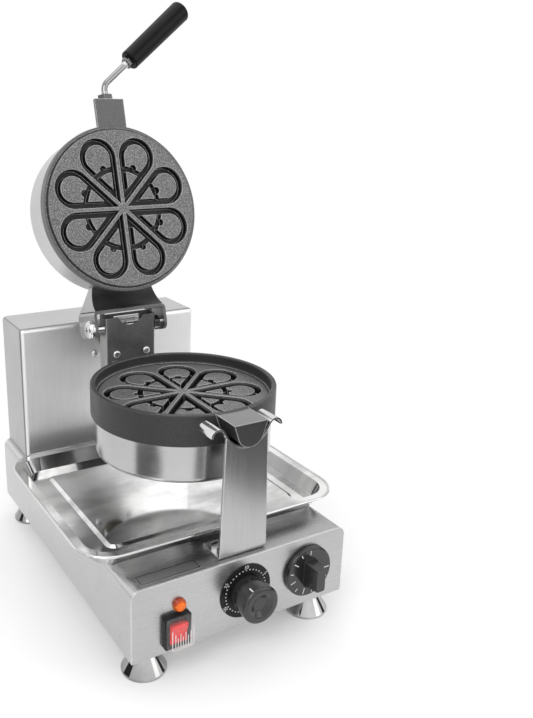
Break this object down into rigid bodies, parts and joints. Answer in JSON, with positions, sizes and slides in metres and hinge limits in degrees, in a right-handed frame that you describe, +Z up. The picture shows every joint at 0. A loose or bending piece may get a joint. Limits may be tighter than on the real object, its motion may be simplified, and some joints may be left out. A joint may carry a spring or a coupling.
{
  "type": "waffle maker",
  "caption": "Countertop rotary waffle maker with a hinged pair of petal-mould pans that flips on a shaft, a drip tray and front controls.",
  "frame": {"origin": "middle of the outer box on the table plane, under the base", "axes": "+X to the right seen from the controls, +Y to the rear column, +Z up"},
  "size_m": [0.304, 0.43, 0.649],
  "materials": {
    "brushed_steel": "brushed",
    "polished_steel": "polished",
    "cast_plate": "non-stick coated casting",
    "black_paint": "satin black",
    "bronze": "sintered",
    "black_phenolic": "moulded satin",
    "dial_black": "printed",
    "black_plastic": "moulded",
    "red_plastic": "gloss",
    "amber_plastic": "clear gloss",
    "clear_plastic": "clear gloss"
  },
  "bodies": {
    "base": {"base_housing": "brushed_steel", "front_panel": "brushed_steel", "rear_panel": "brushed_steel", "bottom_plate": "brushed_steel", "foot_front_left": "polished_steel", "foot_front_right": "polished_steel", "foot_rear_left": "polished_steel", "foot_rear_right": "polished_steel", "foot_nuts": "polished_steel", "column_cover": "brushed_steel", "column_back": "brushed_steel", "bearing_bracket": "brushed_steel", "front_bush": "bronze", "rear_bush": "bronze", "bearing_screws": "polished_steel", "front_post": "brushed_steel", "saddle": "brushed_steel", "post_bolts": "polished_steel", "lamp_lens": "amber_plastic", "lamp_body": "black_plastic", "switch_bezel": "black_plastic", "switch_cover": "clear_plastic", "timer_dial": "dial_black", "timer_body": "black_plastic", "thermostat_body": "black_plastic", "terminal_block": "black_plastic", "cord_gland": "black_plastic", "gland_nut": "black_plastic"},
    "lower_pan": {"lower_plate": "cast_plate", "lower_shell": "brushed_steel", "lower_heater": "polished_steel", "hinge_arm": "black_paint", "arm_screws": "polished_steel", "pan_bolts": "polished_steel", "shaft_plate": "polished_steel", "flip_shaft": "polished_steel", "shaft_collar": "polished_steel", "hinge_pin": "polished_steel", "hinge_nut": "polished_steel"},
    "lid": {"upper_plate": "cast_plate", "upper_shell": "brushed_steel", "upper_heater": "polished_steel", "lid_yoke": "brushed_steel", "lid_neck": "black_paint", "handle_rod": "polished_steel", "lug_nut": "polished_steel", "grip_nut": "polished_steel", "handle_grip": "black_phenolic"},
    "tray": {"drip_tray": "polished_steel"},
    "timer": {"timer_knob": "black_phenolic", "timer_spindle": "polished_steel"},
    "thermostat": {"thermostat_knob": "black_phenolic", "thermostat_spindle": "polished_steel"},
    "switch_rocker": {"rocker": "red_plastic"}
  },
  "joints": [
    {"name": "pan_flip", "type": "hinge", "parent": "base", "child": "lower_pan", "pos_m": [0, -0.055, 0.251], "axis": [0, 1, 0], "range_deg": [-40, 40]},
    {"name": "lid_hinge", "type": "hinge", "parent": "lower_pan", "child": "lid", "pos_m": [0, 0.0804, 0.2775], "axis": [1, 0, 0], "range_deg": [0, 106]},
    {"name": "tray_slide", "type": "slide", "parent": "base", "child": "tray", "axis": [1, 0, 0], "range_m": [0, 0.31]},
    {"name": "timer_turn", "type": "hinge", "parent": "base", "child": "timer", "pos_m": [0.0005, -0.185, 0.07], "axis": [0, 1, 0], "range_deg": [0, 300]},
    {"name": "thermostat_turn", "type": "hinge", "parent": "base", "child": "thermostat", "pos_m": [0.077, -0.185, 0.07], "axis": [0, 1, 0], "range_deg": [0, 270]},
    {"name": "rocker_tip", "type": "hinge", "parent": "base", "child": "switch_rocker", "pos_m": [-0.0785, -0.185, 0.054], "axis": [1, 0, 0], "range_deg": [-16, 0]}
  ]
}
